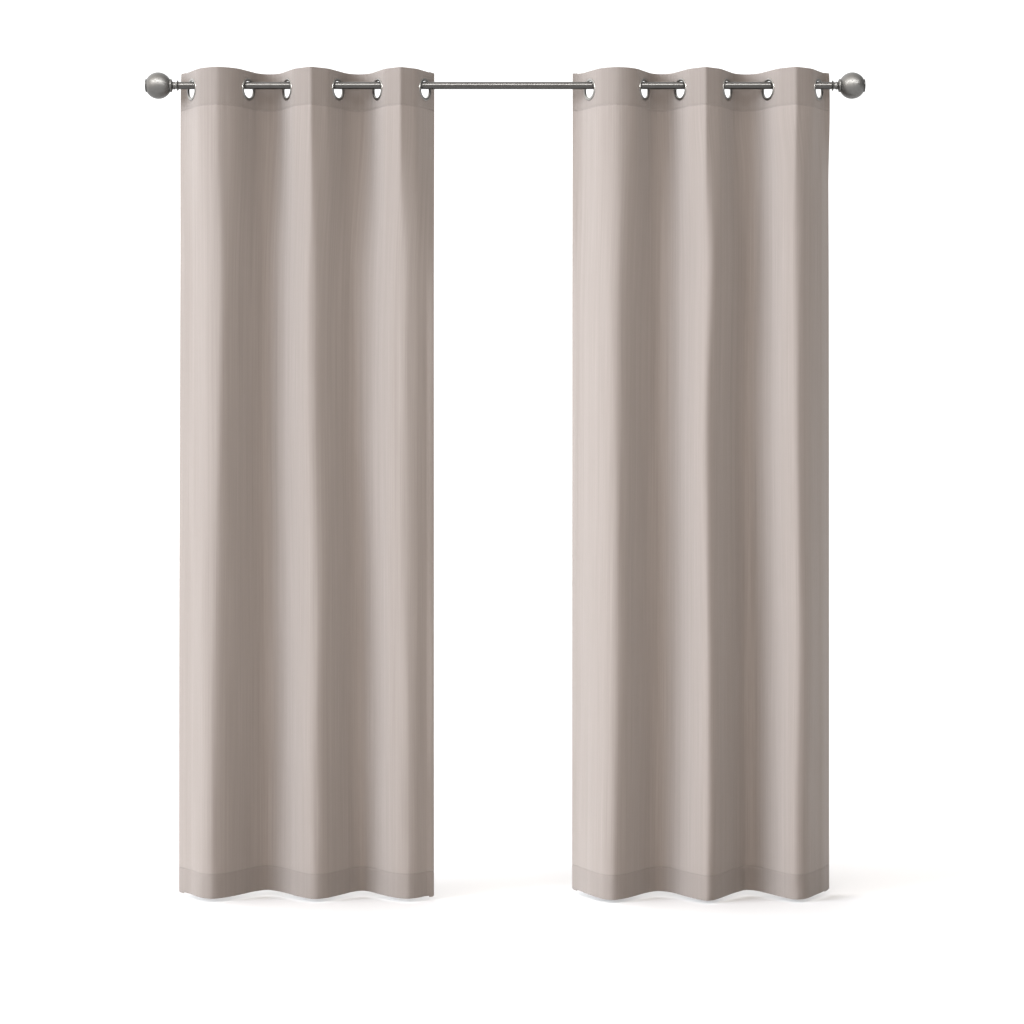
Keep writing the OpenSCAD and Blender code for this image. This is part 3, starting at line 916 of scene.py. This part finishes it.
back_profile += arc(ring_outer_r - BACK_T, -GRIP - 0.0004, BACK_T, BACK_T, 270, 360, 6)
back_profile += [(ring_outer_r, -GRIP), (back_r, -GRIP)]
print("profile points:", len(front_profile), len(back_profile))

# %% Spin the rings
RING_PIECES = []
for side in SIDES:
    for k in range(GROMMETS):
        turn, place = grommet_matrix(side, k)
        matrix = Matrix.Translation(place) @ turn
        for word, profile in (("front", front_profile), ("back", back_profile)):
            RING_PIECES.append(spin_piece(f"{side}_ring_{word}_{k + 1}", profile, matrix,
                                          f"{side}_fold_{k + 1}",
                                          f"{side}_grommet_{word}_{k + 1}"))
print("rings:", len(RING_PIECES))

# %% [markdown]
# ## Metal finishes
# The rod, finials and rings have a satin plated finish. Real brushed metal isn't even: fine marks
# run around or along it, and handling leaves faint cloudy patches. Both come from noise on the
# piece's own coordinates, feeding the roughness, the colour and a very shallow bump.


# %% Metal maker
def brushed_metal(name, colour, roughness, marks, cloud=0.07, relief=0.04):
    """Satin metal with fine marks; marks is how many there are per metre along X, Y and Z."""
    material, tree, shader = new_material(name, Metallic=1.0)
    place = make_node(tree, "ShaderNodeTexCoord", {}, {})[3]
    fine_place = make_node(tree, "ShaderNodeMapping", {}, {"Vector": place, "Scale": marks})[0]
    fine = add_noise(tree, fine_place, detail=3.0)
    cloudy = add_noise(tree, place, scale=45.0, detail=3.0)
    rough = roughness + (fine - 0.5) * 0.09 + (cloudy - 0.5) * cloud
    darker = tuple(0.92 * c for c in colour) + (1,)
    lighter = tuple(min(1, 1.06 * c) for c in colour) + (1,)
    tone = make_node(tree, "ShaderNodeValToRGB", {"stops": [(0.3, darker), (0.7, lighter)]},
                     {"Fac": fine * 0.6 + cloudy * 0.4})[0]
    feed(tree, shader, Base_Color=tone, Roughness=rough,
         Normal=add_bump(tree, fine, relief, 0.0002))
    return material


rod_paint = brushed_metal("rod_satin_nickel", (0.088, 0.086, 0.083), 0.30, (4, 500, 500),
                          cloud=0.02, relief=0.004)
finial_paint = brushed_metal("finial_brushed_pewter", (0.15, 0.148, 0.143), 0.46, (900, 120, 120))
ring_paint = brushed_metal("grommet_satin_nickel", (0.25, 0.246, 0.236), 0.33, (500, 500, 500))
bracket_paint = brushed_metal("bracket_satin_nickel", (0.16, 0.157, 0.152), 0.36, (400, 400, 400))
screw_paint = brushed_metal("screw_zinc", (0.36, 0.36, 0.36), 0.34, (700, 700, 700))
metals = (rod_paint, finial_paint, ring_paint, bracket_paint, screw_paint)
print("metals:", [m.name for m in metals])

# %% [markdown]
# ## The plastic bush
# The bush inside the outer tube is a black moulded part that guides the inner tube. Moulded plastic
# is even in colour with a fine grain, so one small noise gives both its tone and a shallow bump.

# %% Plastic, and a finish for every piece
bush_paint, tree, shader = new_material("bush_black_plastic", Roughness=0.45)
place = make_node(tree, "ShaderNodeTexCoord", {}, {})[3]
grain = add_noise(tree, place, scale=1500.0)
tone = make_node(tree, "ShaderNodeValToRGB", {"stops": [
    (0.3, (0.018, 0.018, 0.020, 1)), (0.7, (0.03, 0.03, 0.033, 1))]}, {"Fac": grain})[0]
feed(tree, shader, Base_Color=tone, Normal=add_bump(tree, grain, 0.2, 0.0001))

for name, node in frame["nodes"].items():
    if "rod_tube" in name:
        set_material(node, rod_paint)
    elif "finial_plug" in name or "thumb_screw" in name:
        set_material(node, screw_paint)
    elif "finial" in name:
        set_material(node, finial_paint)
    elif "slide_bush" in name:
        set_material(node, bush_paint)
    elif "curtain_fold" not in name and "grommet" not in name:
        set_material(node, bracket_paint)
for piece in RING_PIECES:
    set_material(piece, ring_paint)
print("materials:", sorted(m.name for m in bpy.data.materials if m.users))
